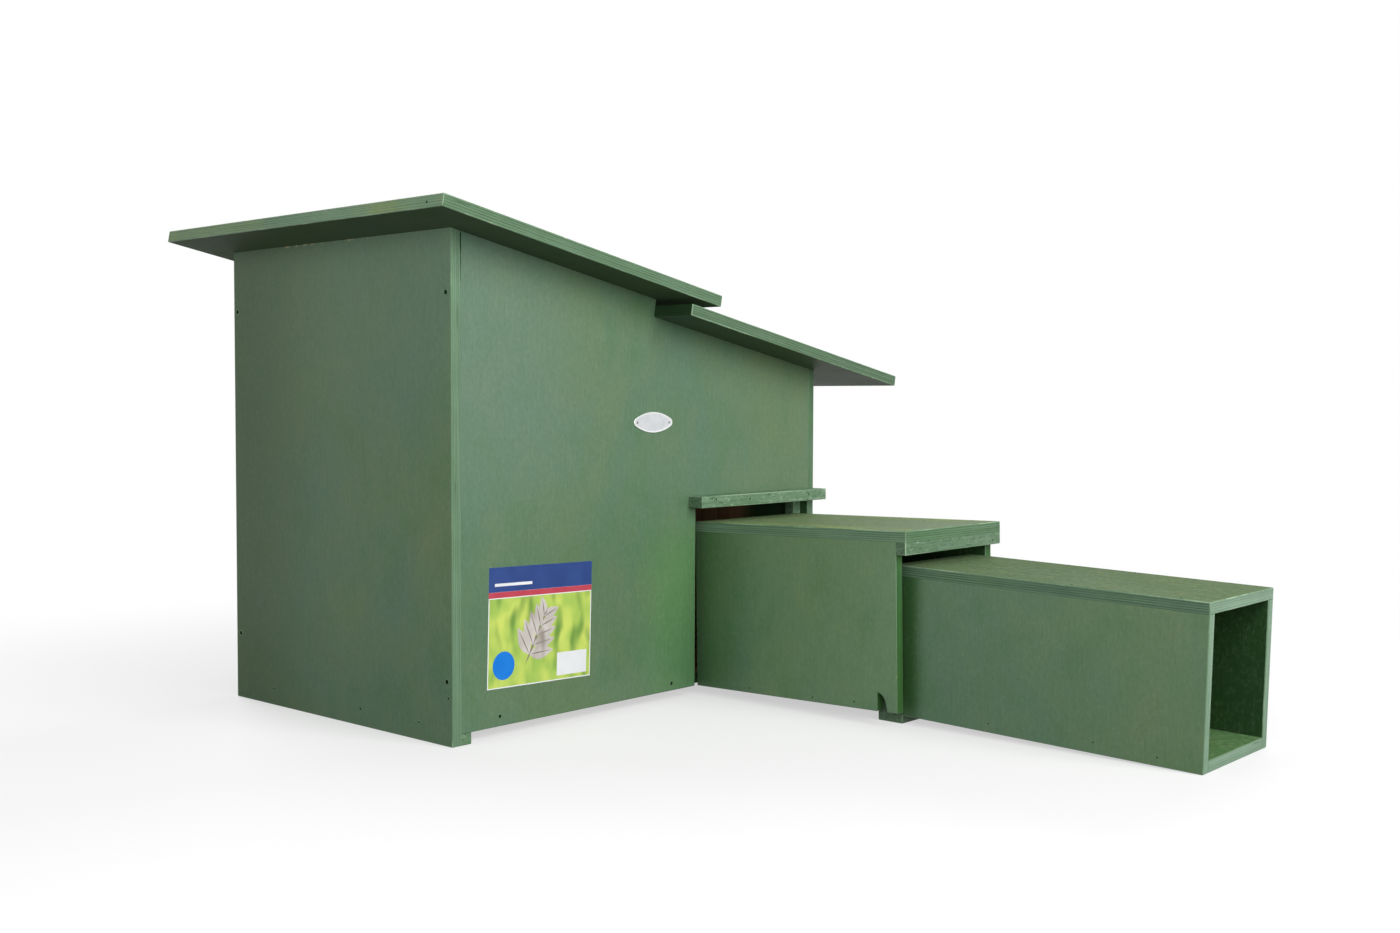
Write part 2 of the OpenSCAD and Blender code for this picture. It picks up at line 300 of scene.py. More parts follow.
def painted_face(
    name, warmth=0.0, tone=1.0, roughness=(0.30, 0.44), specular=SATIN, figure=0.50, wear_and_light=None, base=PAINT
):
    """Green stain on a plywood face: soft patches of cooler and warmer green, faint grain, pores and specks.

    warmth adds olive, tone scales the colours, and figure says how strongly grain and mottle show.
    """
    tree = material_tree(name)
    grain = tree.texture(26, 520, detail=5, roughness=0.65)
    pores = tree.texture(70, 1300, detail=2)
    clouds = tree.texture(4, 6, detail=3, distortion=0.6)
    patches = tree.texture(17, 23, detail=3, distortion=0.4)
    mottle = tree.texture(190, 270, detail=4, roughness=0.7)
    specks = tree.texture(330, 330, detail=1)
    deep, worn, olive = (shade(one, tone) for one in (GREEN_DEEP, GREEN_WORN, OLIVE))
    colour = tree.mix(tree.ramp(clouds, 0.30, 0.70), *(shade(one, tone) for one in base))
    colour = tree.tint(colour, patches, (0.48, 0.74), (0.0, 0.30), deep)
    colour = tree.tint(colour, patches, (0.24, 0.52), (warmth + 0.20, warmth), olive)
    if wear_and_light is not None:
        colour = wear_and_light(tree, colour)
    colour = tree.tint(colour, grain, (0.25, 0.62), (0.28 * figure, 0.0), shade(deep, 0.85))
    colour = tree.tint(colour, grain, (0.52, 0.80), (0.0, 0.15 * figure), worn)
    colour = tree.tint(colour, mottle, (0.30, 0.55), (0.36 * figure, 0.0), shade(deep, 0.8))
    colour = tree.tint(colour, mottle, (0.50, 0.76), (0.0, 0.19 * figure), worn)
    colour = tree.tint(colour, pores, (0.66, 0.76), (0.0, 0.40), SHADOW_GREEN)
    colour = tree.tint(colour, specks, (0.79, 0.82), (0.0, 0.6), worn)
    gloss = tree.ramp(tree.math("ADD", grain, clouds), 0.6, 1.4, *roughness)
    height = tree.math("SUBTRACT", grain, tree.ramp(pores, 0.62, 0.76, 0.0, 0.7))
    relief = tree.bump(height, 0.16 + 0.1 * figure, GRAIN_DEPTH)
    return tree.finish(colour, gloss, relief, specular=specular)


def ply_lines(tree, thickness):
    """Shares for a plywood edge: glue lines, and every second ply, which shows its end grain."""
    wobble = tree.math("SUBTRACT", tree.texture(9, 9, detail=2), 0.5)
    through = tree.math("ADD", tree.spot()[2], tree.math("MULTIPLY", wobble, PLY_WOBBLE))
    count = tree.math("ADD", tree.math("MULTIPLY", through, PLIES / thickness), PLIES / 2)
    glue = tree.ramp(tree.math("PINGPONG", count, 0.5), 0.04, 0.24, 1.0, 0.0)
    second = tree.ramp(tree.math("PINGPONG", count, 1.0), 0.42, 0.58)
    return glue, second


def painted_edge(name, light, plain, thickness=PANEL_T, lines=0.75, specular=0.4):
    """Green stain on a sawn plywood edge: plies and glue lines show through as fine grooves."""
    tree = material_tree(name)
    glue, second = ply_lines(tree, thickness)
    fibre = tree.texture(6, 6, 620, detail=4, roughness=0.6)
    gaps = tree.texture(14, 14, 420, detail=2)
    blotches = tree.texture(11, 11, detail=3)
    stretches = tree.texture(30, 30, detail=2)
    pale = tuple(min(FIBRE_GAIN * c, FIBRE_LIMIT) for c in light)
    colour = tree.mix(tree.ramp(blotches, 0.35, 0.65), light, plain)
    colour = tree.mix(tree.math("MULTIPLY", second, 0.30), colour, shade(plain, 0.85))
    colour = tree.tint(colour, fibre, (0.3, 0.62), (0.45, 0.0), shade(plain, 0.55))
    colour = tree.tint(colour, fibre, (0.56, 0.80), (0.0, 0.45), pale)
    broken = tree.ramp(stretches, 0.38, 0.60, 0.45 * lines, lines)
    colour = tree.mix(tree.math("MULTIPLY", glue, broken), colour, GROOVE_GREEN)
    colour = tree.tint(colour, gaps, (0.70, 0.76), (0.0, 0.85), SHADOW_GREEN)
    gloss = tree.ramp(fibre, 0.3, 0.8, 0.60, 0.44)
    height = tree.math("SUBTRACT", tree.math("MULTIPLY", fibre, 0.6), glue)
    return tree.finish(colour, gloss, tree.bump(height, 0.45, GROOVE_DEPTH), specular=specular)


def painted_arris(name, rubbed):
    """The corner between two faces: paint that is rubbed paler in stretches, with a few bare chips.

    rubbed is the noise level from which the paint is paler.
    """
    tree = material_tree(name)
    rub = tree.texture(16, 16, detail=5, roughness=0.7)
    chips = tree.texture(85, 85, detail=3)
    colour = tree.mix(tree.ramp(rub, rubbed, rubbed + 0.22), GREEN_GREY, GREEN_WORN)
    colour = tree.tint(colour, chips, (0.70, 0.75), (0.0, 0.8), CHIP)
    gloss = tree.ramp(rub, 0.3, 0.7, 0.44, 0.58)
    return tree.finish(colour, gloss, tree.bump(chips, 0.3, GROOVE_DEPTH), specular=0.4)


def painted_batten(name, tone=1.0):
    """Green stain on sawn softwood: long grain lines, with dark checks, pale fibres and torn spots."""
    tree = material_tree(name)
    grain = tree.texture(10, 330, detail=5, roughness=0.65)
    checks = tree.texture(50, 420, detail=3)
    blotches = tree.texture(12, 14, detail=3)
    torn = tree.texture(150, 260, detail=3, roughness=0.7)
    light, plain, deep, worn = (shade(one, tone) for one in (GREEN_EDGE, GREEN_GREY, GREEN_DEEP, GREEN_WORN))
    colour = tree.mix(tree.ramp(blotches, 0.35, 0.65), light, plain)
    colour = tree.tint(colour, grain, (0.25, 0.60), (0.6, 0.0), deep)
    colour = tree.tint(colour, grain, (0.52, 0.80), (0.0, 0.5), worn)
    colour = tree.tint(colour, torn, (0.55, 0.70), (0.0, 0.8), worn)
    colour = tree.tint(colour, torn, (0.30, 0.42), (0.9, 0.0), GROOVE_GREEN)
    colour = tree.tint(colour, checks, (0.62, 0.69), (0.0, 0.85), SHADOW_GREEN)
    gloss = tree.ramp(grain, 0.3, 0.8, 0.56, 0.42)
    height = tree.math("SUBTRACT", tree.math("ADD", grain, torn), tree.ramp(checks, 0.62, 0.72))
    return tree.finish(colour, gloss, tree.bump(height, 0.5, TORN_DEPTH), specular=0.4)


def bare_face(name, shade_from=None):
    """Unpainted veneer: brown figure that runs along the grain, with darker pores.

    A place across the board may be given: in front of it the veneer is dark green, partly overspray from the
    entrance and partly painted shade near the entrance.
    """
    tree = material_tree(name)
    figure = tree.texture(3, 55, detail=4, roughness=0.6, distortion=0.8)
    grain = tree.texture(14, 700, detail=5)
    pores = tree.texture(40, 1100, detail=2)
    colour = tree.mix(tree.ramp(figure, 0.3, 0.7), BARE, BARE_DARK)
    colour = tree.tint(colour, grain, (0.3, 0.7), (0.4, 0.0), BARE_DARK)
    colour = tree.tint(colour, pores, (0.62, 0.74), (0.0, 0.6), GLUE)
    if shade_from is not None:
        # Dark green: overspray, darkened as painted shade
        across = tree.math("ADD", tree.spot()[1], tree.math("MULTIPLY", figure, SPRAY_WANDER))
        spray_shade = tree.ramp(across, shade_from + SPRAY_FADE, shade_from)
        colour = tree.mix(spray_shade, colour, shade(GREEN_DEEP, 0.6))
    gloss = tree.ramp(grain, 0.3, 0.7, 0.72, 0.58)
    return tree.finish(colour, gloss, tree.bump(grain, 0.35, GRAIN_DEPTH), specular=0.3)


def bare_edge(name):
    """Unpainted plywood edge: light and dark plies with dark glue lines."""
    tree = material_tree(name)
    glue, second = ply_lines(tree, PANEL_T)
    fibre = tree.texture(120, 120, 900, detail=4)
    colour = tree.mix(second, BARE, BARE_DARK)
    colour = tree.tint(colour, fibre, (0.3, 0.7), (0.35, 0.0), BARE_DARK)
    colour = tree.mix(tree.math("MULTIPLY", glue, 0.7), colour, GLUE)
    gloss = tree.ramp(fibre, 0.3, 0.7, 0.78, 0.62)
    height = tree.math("SUBTRACT", tree.math("MULTIPLY", fibre, 0.6), glue)
    return tree.finish(colour, gloss, tree.bump(height, 0.4, GROOVE_DEPTH), specular=0.4)


def metal(name, colour, roughness, spread):
    """Pale metal with fine rolling lines and faint stains."""
    tree = material_tree(name)
    lines = tree.texture(60, 3200, 60, detail=3)
    stains = tree.texture(90, 90, detail=3)
    stained = tree.tint(colour, stains, (0.35, 0.75), (0.0, 0.5), shade(colour, 0.8))
    gloss = tree.ramp(tree.math("ADD", lines, stains), 0.6, 1.4, roughness - spread, roughness + spread)
    return tree.finish(stained, gloss, tree.bump(lines, 0.2, FINE_DEPTH), metallic=1.0)


def printed(name, colour, other, third=None):
    """Print on coated paper: soft blotches of two or three colours, with fibres under the gloss."""
    tree = material_tree(name)
    blotches = tree.texture(42, 34, 40, detail=1, roughness=0.4)
    patches = tree.texture(60, 26, 60, detail=1, roughness=0.4)
    fibres = tree.texture(900, 900, detail=2)
    ink = tree.mix(tree.ramp(blotches, 0.28, 0.72), colour, other)
    if third is not None:
        ink = tree.mix(tree.ramp(patches, 0.46, 0.76), ink, third)
    gloss = tree.ramp(fibres, 0.3, 0.7, 0.30, 0.40)
    return tree.finish(ink, gloss, tree.bump(fibres, 0.08, FINE_DEPTH), specular=0.25)


def dark_hole(name):
    """A hole or crack: dark paint and shadow."""
    tree = material_tree(name)
    grit = tree.texture(1500, 1500, detail=2)
    colour = tree.mix(tree.ramp(grit, 0.3, 0.7), shade(SHADOW_GREEN, 0.4), SHADOW_GREEN)
    gloss = tree.ramp(grit, 0.3, 0.7, 0.7, 0.9)
    return tree.finish(colour, gloss, tree.bump(grit, 0.3, GRIT_DEPTH), specular=0.0)


# Painted faces. The zones, which paint light and shade, are as the zone function above takes them, in metres
# from the board's middle.
CHIPPED = (-0.08, 0.11)
# Painted light and shade on the tall end: lighter towards its top, making up for the roof's shadow, and
# darker olive towards its rear, where less light falls
TALL_END_ZONES = [
    (PAINTED_TOP_LIGHT, 0.4, EVERYWHERE, (0.0, 0.22)),
    (PAINTED_REAR_SHADE, 0.7, (-0.02, 0.19), EVERYWHERE),
]
# Painted light on the front: a pale, cool sheen at the upper left, and brighter, more saturated green by the
# first tunnel, as from light thrown back off its side
FRONT_ZONES = [
    (PAINTED_SHEEN_GREEN, 0.5, (-0.04, -0.22), (-0.15, 0.10)),
    (PAINTED_BOUNCE_GREEN, 0.6, (-0.06, 0.05), (-0.02, -0.12)),
]
# Painted shade: the first tunnel's side darkens towards the house, where the house's corner shades it
TUNNEL_1_ZONES = [(PAINTED_CORNER_SHADE, 0.72, (-0.03, -0.14), EVERYWHERE)]
# Across the second tunnel's side, the place that stands level with the first tunnel's front: behind it the
# side is darkened, painted shade cast by that front edge
SHADE_EDGE_AT = middle("tunnel_2_tall_side").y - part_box("tunnel_1_tall_side")[0].y
SHADE_EDGE_FADE = 24 * MM
TUNNEL_2_ZONES = [(PAINTED_CORNER_SHADE, 0.92, (SHADE_EDGE_AT + SHADE_EDGE_FADE, SHADE_EDGE_AT), EVERYWHERE)]

chips = chipped_top(half_size("tall_end_panel").z, *CHIPPED)
moss = mossy_sides(half_size("tunnel_1_top").y, half_size("tunnel_1_top").x)
tall_face = painted_face("tall_end_face", tone=1.12, specular=0.22, wear_and_light=light_and_shade_zones(TALL_END_ZONES, chips))
front_face = painted_face("front_face", wear_and_light=light_and_shade_zones(FRONT_ZONES))
wall_face = painted_face("wall_face")
# The tunnels' tones over 1 are partly painted light: the same stain made lighter where their sides catch more
# light
tunnel_1_face = painted_face("tunnel_1_face", tone=1.38, wear_and_light=light_and_shade_zones(TUNNEL_1_ZONES))
tunnel_2_face = painted_face("tunnel_2_face", tone=1.12, wear_and_light=light_and_shade_zones(TUNNEL_2_ZONES))
top_1_face = painted_face(
    "tunnel_1_top_face", warmth=0.60, tone=1.04, roughness=(0.56, 0.70), figure=2.0, wear_and_light=streaked(0.9, moss)
)
top_2_face = painted_face(
    "top_face", warmth=0.42, tone=0.90, roughness=(0.66, 0.80), specular=0.16, figure=1.8, wear_and_light=streaked(0.8)
)
roof_face = painted_face(
    "roof_face", warmth=0.16, tone=1.05, roughness=(0.50, 0.64), specular=MATT, figure=1.0, wear_and_light=streaked(0.4)
)
tunnel_floor = painted_face(
    "tunnel_floor", warmth=0.20, tone=1.30, roughness=(0.55, 0.70), specular=DULL, figure=2.4, base=DEEP_AND_BRIGHT
)
# Painted shade: the tunnels' inner faces and the first tunnel's floor are dark, saturated green, for the
# shade and green bounce light inside the tunnels
tunnel_inner = painted_face(
    "tunnel_inner", tone=0.46, roughness=(0.60, 0.75), specular=0.05, figure=1.8, base=DEEP_AND_BRIGHT
)
# Painted shade: the roof boards' undersides are darkened, as shade falls under them
under_face = painted_face("under_face", warmth=0.12, tone=0.50, roughness=(0.60, 0.75), specular=0.12)
low_under_face = painted_face(
    "low_under_face", warmth=0.12, tone=0.50, roughness=(0.44, 0.58), specular=DULL
)

# Painted edges, corners and battens
panel_edge = painted_edge("panel_edge", shade(GREEN_EDGE, 0.9), GREEN)
pale_edge = painted_edge("pale_edge", shade(GREEN_EDGE, 1.15), GREEN_EDGE, lines=0.4)
mouth_edge = painted_edge("mouth_edge", GREEN_PALE, shade(GREEN_PALE, 0.85), lines=0.3)
plain_edge = painted_edge(
    "plain_edge", shade(GREEN_BRIGHT, 0.9), shade(GREEN_DEEP, 0.85), lines=0.3, specular=DULL
)
top_1_edge = painted_edge("tunnel_1_top_edge", shade(GREEN_EDGE, 1.22), shade(GREEN_EDGE, 1.08), lines=0.55)
top_2_edge = painted_edge("ply_edge", shade(GREEN_GREY, 0.93), shade(GREEN_COOL, 0.97), lines=0.8)
roof_edge = painted_edge("roof_edge", shade(GREEN_EDGE, 0.92), GREEN_GREY, ROOF_T)
low_roof_edge = painted_edge("low_roof_edge", shade(GREEN_EDGE, 0.83), shade(GREEN_GREY, 0.9), ROOF_T)
roof_end_edge = painted_edge(
    "roof_end_edge", shade(GREEN_YELLOW, 1.15), shade(GREEN_EDGE, 1.45), ROOF_T, lines=0.45
)
# Painted shade: the lower roof's uphill end, under the upper roof, and the floor's front edge, seen in the
# gap by the entrance
shade_edge = painted_edge(
    "shade_edge", shade(GREEN_DEEP, 0.5), shade(GREEN_DEEP, 0.3), ROOF_T, lines=1.0, specular=MATT
)
arris = painted_arris("arris", 0.52)
rubbed_arris = painted_arris("rubbed_arris", 0.42)
batten_wood = painted_batten("batten_wood")
drip_wood = painted_batten("drip_wood", 0.86)
# Darker batten ends, partly end grain and partly painted shade; the first tunnel's feet, low under the
# tunnel, are darkened as painted shade
dark_batten = painted_batten("dark_batten", 0.70)

# Bare wood and holes
# Painted shade, with overspray: the low end's inner face is dark green in front of this place, by the
# entrance
LOBBY_SHADE_AT = -0.10
inner_face = bare_face("inner_face")
lobby_face = bare_face("lobby_face", LOBBY_SHADE_AT)
inner_edge = bare_edge("inner_edge")
hole = dark_hole("hole")

# Solids
SKEW = Vector((0.577, 0.211, 0.789)).normalized()
PAST = 0.001 * MM


def cad_solids():
    """Each CAD node's surface, at which rays can be cast, and the corners of its box."""
    made = {}
    for name, source in frame["nodes"].items():
        points = [vertex.co.copy() for vertex in source.data.vertices]
        polygons = [tuple(polygon.vertices) for polygon in source.data.polygons]
        made[name] = (BVHTree.FromPolygons(points, polygons), *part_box(name))
    return made


solids = cad_solids()


def inside(name, point):
    """Whether a point lies in a CAD solid: a ray from there leaves it an odd number of times."""
    surface, low, high = solids[name]
    if any(point[k] < low[k] or point[k] > high[k] for k in range(3)):
        return False
    crossings = 0
    hit = surface.ray_cast(point, SKEW)[0]
    while hit is not None:
        crossings += 1
        hit = surface.ray_cast(hit + SKEW * PAST, SKEW)[0]
    return crossings % 2 == 1


# Meshes
WELD = 0.01 * MM
LEVEL = math.radians(1)
ROUND, ROUND_STEPS = 0.5, 3


def solid_copy(node):
    """An editable copy of a CAD node's mesh, with each flat face in one piece."""
    work = bmesh.new()
    work.from_mesh(frame["nodes"][node].data)
    bmesh.ops.remove_doubles(work, verts=work.verts, dist=WELD)
    bmesh.ops.dissolve_limit(work, angle_limit=LEVEL, verts=work.verts, edges=work.edges)
    work.normal_update()
    return work


def to_mesh(work, name):
    """The mesh of an edited shape, which ends the editing."""
    mesh = bpy.data.meshes.new(name)
    work.to_mesh(mesh)
    work.free()
    return mesh


def set_coordinates(mesh, centre, axes, shift=0.0):
    """Writes each point's place on the board, and its texture coordinates, which a shift moves."""
    spot = mesh.attributes.new("spot", "FLOAT_VECTOR", "POINT")
    wood = mesh.attributes.new("wood", "FLOAT_VECTOR", "POINT")
    for vertex, here, texture in zip(mesh.vertices, spot.data, wood.data):
        offset = vertex.co - centre
        along, across, through = (offset.dot(axis) for axis in axes)
        here.vector = (along, across, through)
        texture.vector = (along + shift, across + 2 * shift, through)


def link(mesh, name, body, materials):
    """Puts a mesh into the scene as a piece that rides on a body."""
    piece = bpy.data.objects.new(name, mesh)
    bpy.context.scene.collection.objects.link(piece)
    for material in materials:
        mesh.materials.append(material)
    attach(piece, body)
    return piece


# Boards
ARRIS = 0.9 * MM
SHARP = math.radians(20)
PROBE = 0.6 * MM
PROBE_SHARES = (0.1, 0.3, 0.5, 0.7, 0.9)
FLAT, FACING = 0.9, 0.7
FACE_SLOT, EDGE_SLOT, ARRIS_SLOT, TURNED_SLOT = range(4)
TEXTURE_SHIFT = 0.37
board_numbers = itertools.count(1)


def board_axes(work, grain, counted):
    """Along the grain, across it and through the board, from the normal of its largest face.

    counted is the direction in which places across the board grow, where that matters.
    """
    through = max(work.faces, key=lambda face: face.calc_area()).normal.copy()
    along = (grain - through * grain.dot(through)).normalized()
    if counted is not None and through.cross(along).dot(counted) < 0:
        through.negate()
    return along, through.cross(along), through


def is_seam(edge, node):
    """Whether another board lies against the edge for most of its length."""
    if len(edge.link_faces) != 2:
        return True
    a, b = (face.normal for face in edge.link_faces)
    start, end = (vertex.co for vertex in edge.verts)
    others = [other for other in solids if other != node]
    covered = 0
    for share in PROBE_SHARES:
        point = start.lerp(end, share)
        probes = (point + PROBE * (a - b), point + PROBE * (b - a))
        covered += any(inside(other, probe) for other in others for probe in probes)
    return covered > len(PROBE_SHARES) / 2


def ease(work, node):
    """Rounds the corners that no other board lies against, and returns their faces."""
    sharp = [edge for edge in work.edges if edge.calc_face_angle(0) > SHARP]
    free = [edge for edge in sharp if not is_seam(edge, node)]
    if not free:
        return set()
    made = bmesh.ops.bevel(
        work, geom=free, offset=ARRIS, segments=ROUND_STEPS, profile=ROUND, affect="EDGES", clamp_overlap=True
    )
    work.normal_update()
    return set(made["faces"])


def board_slot(normal, through, turned):
    """The material slot of a board's flat polygon, from its normal."""
    for slot, (direction, _) in enumerate(turned, TURNED_SLOT):
        if normal.dot(direction) > FACING:
            return slot
    return FACE_SLOT if abs(normal.dot(through)) > FLAT else EDGE_SLOT


def board(node, grain, face, edge, corner, turned=(), counted=None):
    """A copy of a CAD board with eased corners: faces, sawn edges and corners have a material each.

    turned lists (direction, material) for what looks in that direction, and counted is as in board_axes.
    """
    work = solid_copy(node)
    axes = board_axes(work, grain, counted)
    rounded = ease(work, node)
    for one in work.edges:
        one.smooth = rounded.issuperset(one.link_faces)
    for polygon in work.faces:
        polygon.smooth = True
        eased = polygon in rounded
        polygon.material_index = ARRIS_SLOT if eased else board_slot(polygon.normal, axes[2], turned)
    mesh = to_mesh(work, node + "_board")
    set_coordinates(mesh, middle(node), axes, TEXTURE_SHIFT * next(board_numbers))
    materials = [face, edge, corner] + [material for _, material in turned]
    body = frame["nodes"][node]["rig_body"]
    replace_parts(link(mesh, node + "_board", body, materials), node)


def house_boards():
    """The walls, roof boards, floor, partition, runners and jamb of the house."""
    board("tall_end_panel", UP, tall_face, pale_edge, arris, [(RIGHT, inner_face)])
    board("low_end_panel", UP, wall_face, panel_edge, arris, [(-RIGHT, lobby_face)])
    board("front_panel", UP, front_face, panel_edge, arris, [(REAR, inner_face)])
    board("rear_panel", UP, wall_face, panel_edge, arris, [(-REAR, inner_face)])
    upper_turned = [(-UP, under_face), (-RIGHT, roof_end_edge)]
    # The lower roof's uphill end is painted shade, under the upper roof
    lower_turned = [(-UP, low_under_face), (-RIGHT, shade_edge)]
    board("upper_roof_board", REAR, roof_face, roof_edge, rubbed_arris, upper_turned)
    board("lower_roof_board", REAR, roof_face, low_roof_edge, rubbed_arris, lower_turned)
    # The floor's front edge is painted shade, as it is seen only in the gap by the entrance
    board("floor_panel", RIGHT, inner_face, inner_edge, inner_edge, [(-REAR, shade_edge)])
    board("partition_panel", UP, inner_face, inner_edge, inner_edge)
    for node in ("tall_end_runner", "low_end_runner"):
        board(node, REAR, batten_wood, batten_wood, arris)
    board("entrance_jamb", UP, batten_wood, batten_wood, arris)


def battens():
    """The awning, the first tunnel's drip batten and feet, and the bare rail and cleats."""
    batten_ends = [(-RIGHT, dark_batten), (RIGHT, dark_batten)]
    board("awning_batten", RIGHT, batten_wood, batten_wood, rubbed_arris, batten_ends)
    board("tunnel_1_drip_batten", RIGHT, drip_wood, drip_wood, rubbed_arris, batten_ends)
    for node in ("tunnel_1_front_foot", "tunnel_1_rear_foot"):
        board(node, RIGHT, dark_batten, dark_batten, arris)
    for node in ("step_rail", "upper_roof_high_cleat", "upper_roof_low_cleat"):
        board(node, REAR, inner_face, inner_face, inner_face)


def tunnel_boards():
    """The sides, tops and floors of the two tunnels."""
    for side, inward in (("tall_side", RIGHT), ("low_side", -RIGHT)):
        turned = [(inward, tunnel_inner)]
        board(f"tunnel_1_{side}", UP, tunnel_1_face, plain_edge, arris, turned, counted=-REAR)
        board(f"tunnel_2_{side}", UP, tunnel_2_face, mouth_edge, arris, turned, counted=-REAR)
    top_1_turned = [(-UP, tunnel_inner), (-RIGHT, top_1_edge), (RIGHT, top_1_edge)]
    top_2_turned = [(-UP, tunnel_inner), (-RIGHT, top_2_edge), (RIGHT, top_2_edge)]
    board("tunnel_1_top", REAR, top_1_face, panel_edge, rubbed_arris, top_1_turned)
    board("tunnel_2_top", REAR, top_2_face, mouth_edge, rubbed_arris, top_2_turned)
    board("tunnel_1_floor", REAR, tunnel_inner, panel_edge, arris)
    board("tunnel_2_floor", REAR, tunnel_floor, mouth_edge, arris)


house_boards()
battens()
tunnel_boards()

# Turned shapes
SIDES = 14


def lathe(work, centre, axis, profile):
    """Turns (radius, height) points round an axis, from the foot to the top, into a closed shell."""
    to_place = Matrix.Translation(centre) @ axis.to_track_quat("Z", "Y").to_matrix().to_4x4()
    angles = [2 * math.pi * k / SIDES for k in range(SIDES)]
    rings = []
    for radius, height in profile:
        ring = [Vector((radius * math.cos(a), radius * math.sin(a), height)) for a in angles]
        points = ring if radius else ring[:1]
        made = [work.verts.new(to_place @ point) for point in points]
        rings.append(made if radius else made * SIDES)
    faces = []
    for outer, inner in zip(rings, rings[1:]):
        for k in range(SIDES):
            corners = [outer[k], outer[(k + 1) % SIDES], inner[(k + 1) % SIDES], inner[k]]
            faces.append(work.faces.new(list(dict.fromkeys(corners))))
    return faces


# Nails: places in mm, by the two directions of the face that carries them
HOLE_R, RING_R = 2.0 * MM, 3.3 * MM
# Shares of the hole's and the ring's radius
LIP, SHOULDER = 1.15, 0.85
RING_H = 0.25 * MM
RING_FOOT, SHOULDER_H = -0.2 * RING_H, 0.7 * RING_H
DISH_TOP, DISH_FLOOR = 0.5 * RING_H, 0.2 * RING_H
OUTSIDE = 2.0
TALL_END = [(8.2, 460.9), (8.3, 66.4), (392.4, 455.2), (391.3, 76.4)]
TALL_END_FOOT = [(6.0, 49.7), (54.1, 19.0), (155.7, 18.6), (322.0, 19.0)]
LOW_END = [(392.0, 340.0), (391.5, 72.0), (7.5, 330.0), (57.0, 19.0), (172.0, 18.5), (318.0, 19.2)]
FRONT = [(63.0, 22.7), (327.6, 20.8)]
BACK_FOOT = [(58.0, 18.5), (196.0, 18.0), (337.0, 19.0), (541.0, 18.2)]
BACK_RAIL = [(291.5, 428.0), (353.0, 300.0), (353.0, 205.0)]
LOWER_ROOF_FRONT = [(372.0, 6.0), (470.0, 6.5), (560.0, 5.5)]
LOWER_ROOF_REAR = [(372.0, 394.0), (468.0, 393.5), (562.0, 394.5)]
LOWER_ROOF_END = [(594.0, 110.0), (594.0, 290.0)]
LOWER_ROOF = LOWER_ROOF_FRONT + LOWER_ROOF_REAR + LOWER_ROOF_END
ROOF_MARK = [(-33.0, 541.5)]
AWNING = [(382.5, 235.9), (445.6, 233.9), (563.3, 234.3)]
TUNNEL_1_SIDE = [(-74.5, 17.2), (-166.9, 18.7), (-224.2, 21.7)]
TUNNEL_2_SIDE = [(-498.6, 14.5), (-566.0, 10.0), (-380.0, 16.0)]
TUNNEL_1_TOP_TALL = [(388.0, -40.0), (388.0, -150.0), (388.5, -255.0)]
TUNNEL_1_TOP_LOW = [(573.0, -45.0), (573.0, -155.0), (572.5, -258.0)]
TUNNEL_2_TOP_TALL = [(411.5, -340.0), (411.5, -470.0), (411.0, -585.0)]
TUNNEL_2_TOP_LOW = [(557.0, -345.0), (557.5, -468.0), (557.0, -590.0)]
# Piece, the board that carries it, where it looks, places and size
NAILS = [
    ("tall_end_nails", "tall_end_panel", -RIGHT, TALL_END, 1.2),
    ("tall_end_foot_nails", "tall_end_panel", -RIGHT, TALL_END_FOOT, 0.62),
    ("low_end_nails", "low_end_panel", RIGHT, LOW_END, 1.0),
    ("front_nails", "front_panel", -REAR, FRONT, 1.0),
    ("rear_nails", "rear_panel", REAR, BACK_FOOT + BACK_RAIL, 1.0),
    ("lower_roof_nails", "lower_roof_board", UP, LOWER_ROOF, 1.0),
    ("upper_roof_mark", "upper_roof_board", -RIGHT, ROOF_MARK, 0.6),
    ("awning_nails", "awning_batten", -REAR, AWNING, 0.6),
    ("tunnel_1_side_nails", "tunnel_1_tall_side", -RIGHT, TUNNEL_1_SIDE, 0.42),
    ("tunnel_1_far_nails", "tunnel_1_low_side", RIGHT, TUNNEL_1_SIDE, 0.42),
    ("tunnel_1_top_nails", "tunnel_1_top", UP, TUNNEL_1_TOP_TALL + TUNNEL_1_TOP_LOW, 1.0),
    ("tunnel_2_side_nails", "tunnel_2_tall_side", -RIGHT, TUNNEL_2_SIDE, 0.42),
    ("tunnel_2_far_nails", "tunnel_2_low_side", RIGHT, TUNNEL_2_SIDE, 0.42),
    ("tunnel_2_top_nails", "tunnel_2_top", UP, TUNNEL_2_TOP_TALL + TUNNEL_2_TOP_LOW, 1.0),
]


def in_front(spot, outward):
    """A point outside the object, straight in front of a place on a face."""
    point = list(spot)
    point.insert(max(range(3), key=lambda k: abs(outward[k])), 0)
    return place(*point) + outward * OUTSIDE


def nails(name, node, outward, spots, size):
    """Sunk nail heads on a board: a low ring of raised paint round a dark dish."""
    work = bmesh.new()
    ring, dish = size * RING_R, size * HOLE_R
    rim = [(0, RING_FOOT), (ring, RING_FOOT), (SHOULDER * ring, SHOULDER_H), (LIP * dish, RING_H)]
    profile = rim + [(dish, DISH_TOP), (0, DISH_FLOOR)]
    for spot in spots:
        at, normal, _, _ = solids[node][0].ray_cast(in_front(spot, outward), -outward)
        for k, face in enumerate(lathe(work, at, normal, profile)):
            face.smooth = True
            face.material_index = k // (len(rim) * SIDES)
    mesh = to_mesh(work, name)
    set_coordinates(mesh, CORNER, (RIGHT, REAR, UP))
    link(mesh, name, frame["nodes"][node]["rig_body"], (arris, hole))


for row in NAILS:
    nails(*row)


